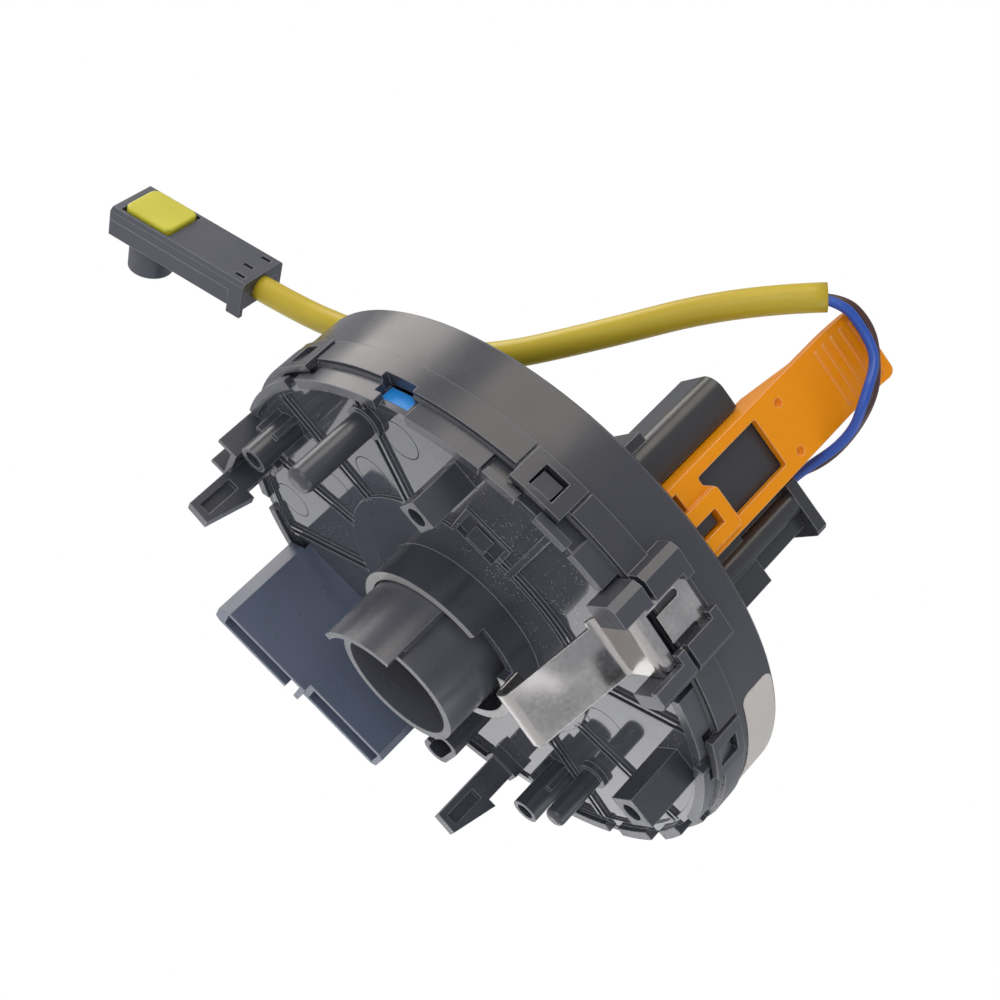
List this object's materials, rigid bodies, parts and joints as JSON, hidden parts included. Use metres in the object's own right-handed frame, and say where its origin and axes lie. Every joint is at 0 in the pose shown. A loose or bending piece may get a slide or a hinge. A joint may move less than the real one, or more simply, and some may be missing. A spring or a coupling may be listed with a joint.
{
  "type": "steering clock spring",
  "caption": "Round steering-column spiral cable unit with a base plate, ring cover, turning hub, wound flat cable, orange lock tab and a yellow-sleeved airbag lead.",
  "frame": {"origin": "on the turning axis, in the plane of the rim's column-side edge", "axes": "+Z along the turning axis towards the steering wheel, -Y towards the side with the lock tab and the spring clip"},
  "size_m": [0.1565, 0.111, 0.0886],
  "materials": {
    "black_plastic": "satin moulded black plastic with a slight gloss",
    "housing_plastic": "satin blue-black connector plastic",
    "orange_plastic": "satin translucent orange plastic",
    "blue_sheet": "smooth blue low-friction sheet",
    "pale_sheet": "smooth off-white low-friction sheet",
    "stainless_strip": "rolled stainless strip",
    "tinned_brass": "tinned contact metal",
    "ribbon_film": "clear amber film over flat conductors",
    "lead_block_plastic": "off-white moulded plastic",
    "label_paper": "pale grey label",
    "yellow_tube": "soft yellow sleeve, slight gloss",
    "blue_insulation": "blue wire insulation",
    "brown_insulation": "dark brown wire insulation",
    "grey_plastic": "slate grey moulded plastic",
    "yellow_plastic": "bright yellow moulded plastic"
  },
  "bodies": {
    "stator": {"base_plate": "black_plastic", "ring_cover": "black_plastic", "slip_sheet": "blue_sheet", "column_connector": "housing_plastic", "column_terminals": "tinned_brass", "spring_clip": "stainless_strip", "label": "label_paper", "outer_lead_block": "lead_block_plastic"},
    "rotor": {"rotor_disc": "black_plastic", "rotor_sleeve": "black_plastic", "upper_slip_sheet": "pale_sheet", "inner_lead_block": "lead_block_plastic", "ribbon_cable": "ribbon_film", "wheel_connector": "housing_plastic", "wheel_terminals": "tinned_brass", "lead_cover": "black_plastic", "blue_wire": "blue_insulation", "brown_wire": "brown_insulation", "lead_sleeve": "yellow_tube", "airbag_connector_body": "grey_plastic", "airbag_connector_cover": "grey_plastic", "airbag_short_ring": "yellow_plastic", "airbag_contacts": "tinned_brass"},
    "tab": {"lock_tab": "orange_plastic"},
    "pad": {"airbag_lock_pad": "yellow_plastic"}
  },
  "joints": [
    {"name": "rotor_turn", "type": "hinge", "parent": "stator", "child": "rotor", "pos_m": [0, 0, 0], "axis": [0, 0, 1], "range_deg": [-900, 900]},
    {"name": "tab_pull", "type": "slide", "parent": "rotor", "child": "tab", "axis": [0, 0, 1], "range_m": [0, 0.03]},
    {"name": "pad_lift", "type": "slide", "parent": "rotor", "child": "pad", "axis": [-0.3416, -0.88, 0.33], "range_m": [0, 0.0025]}
  ]
}
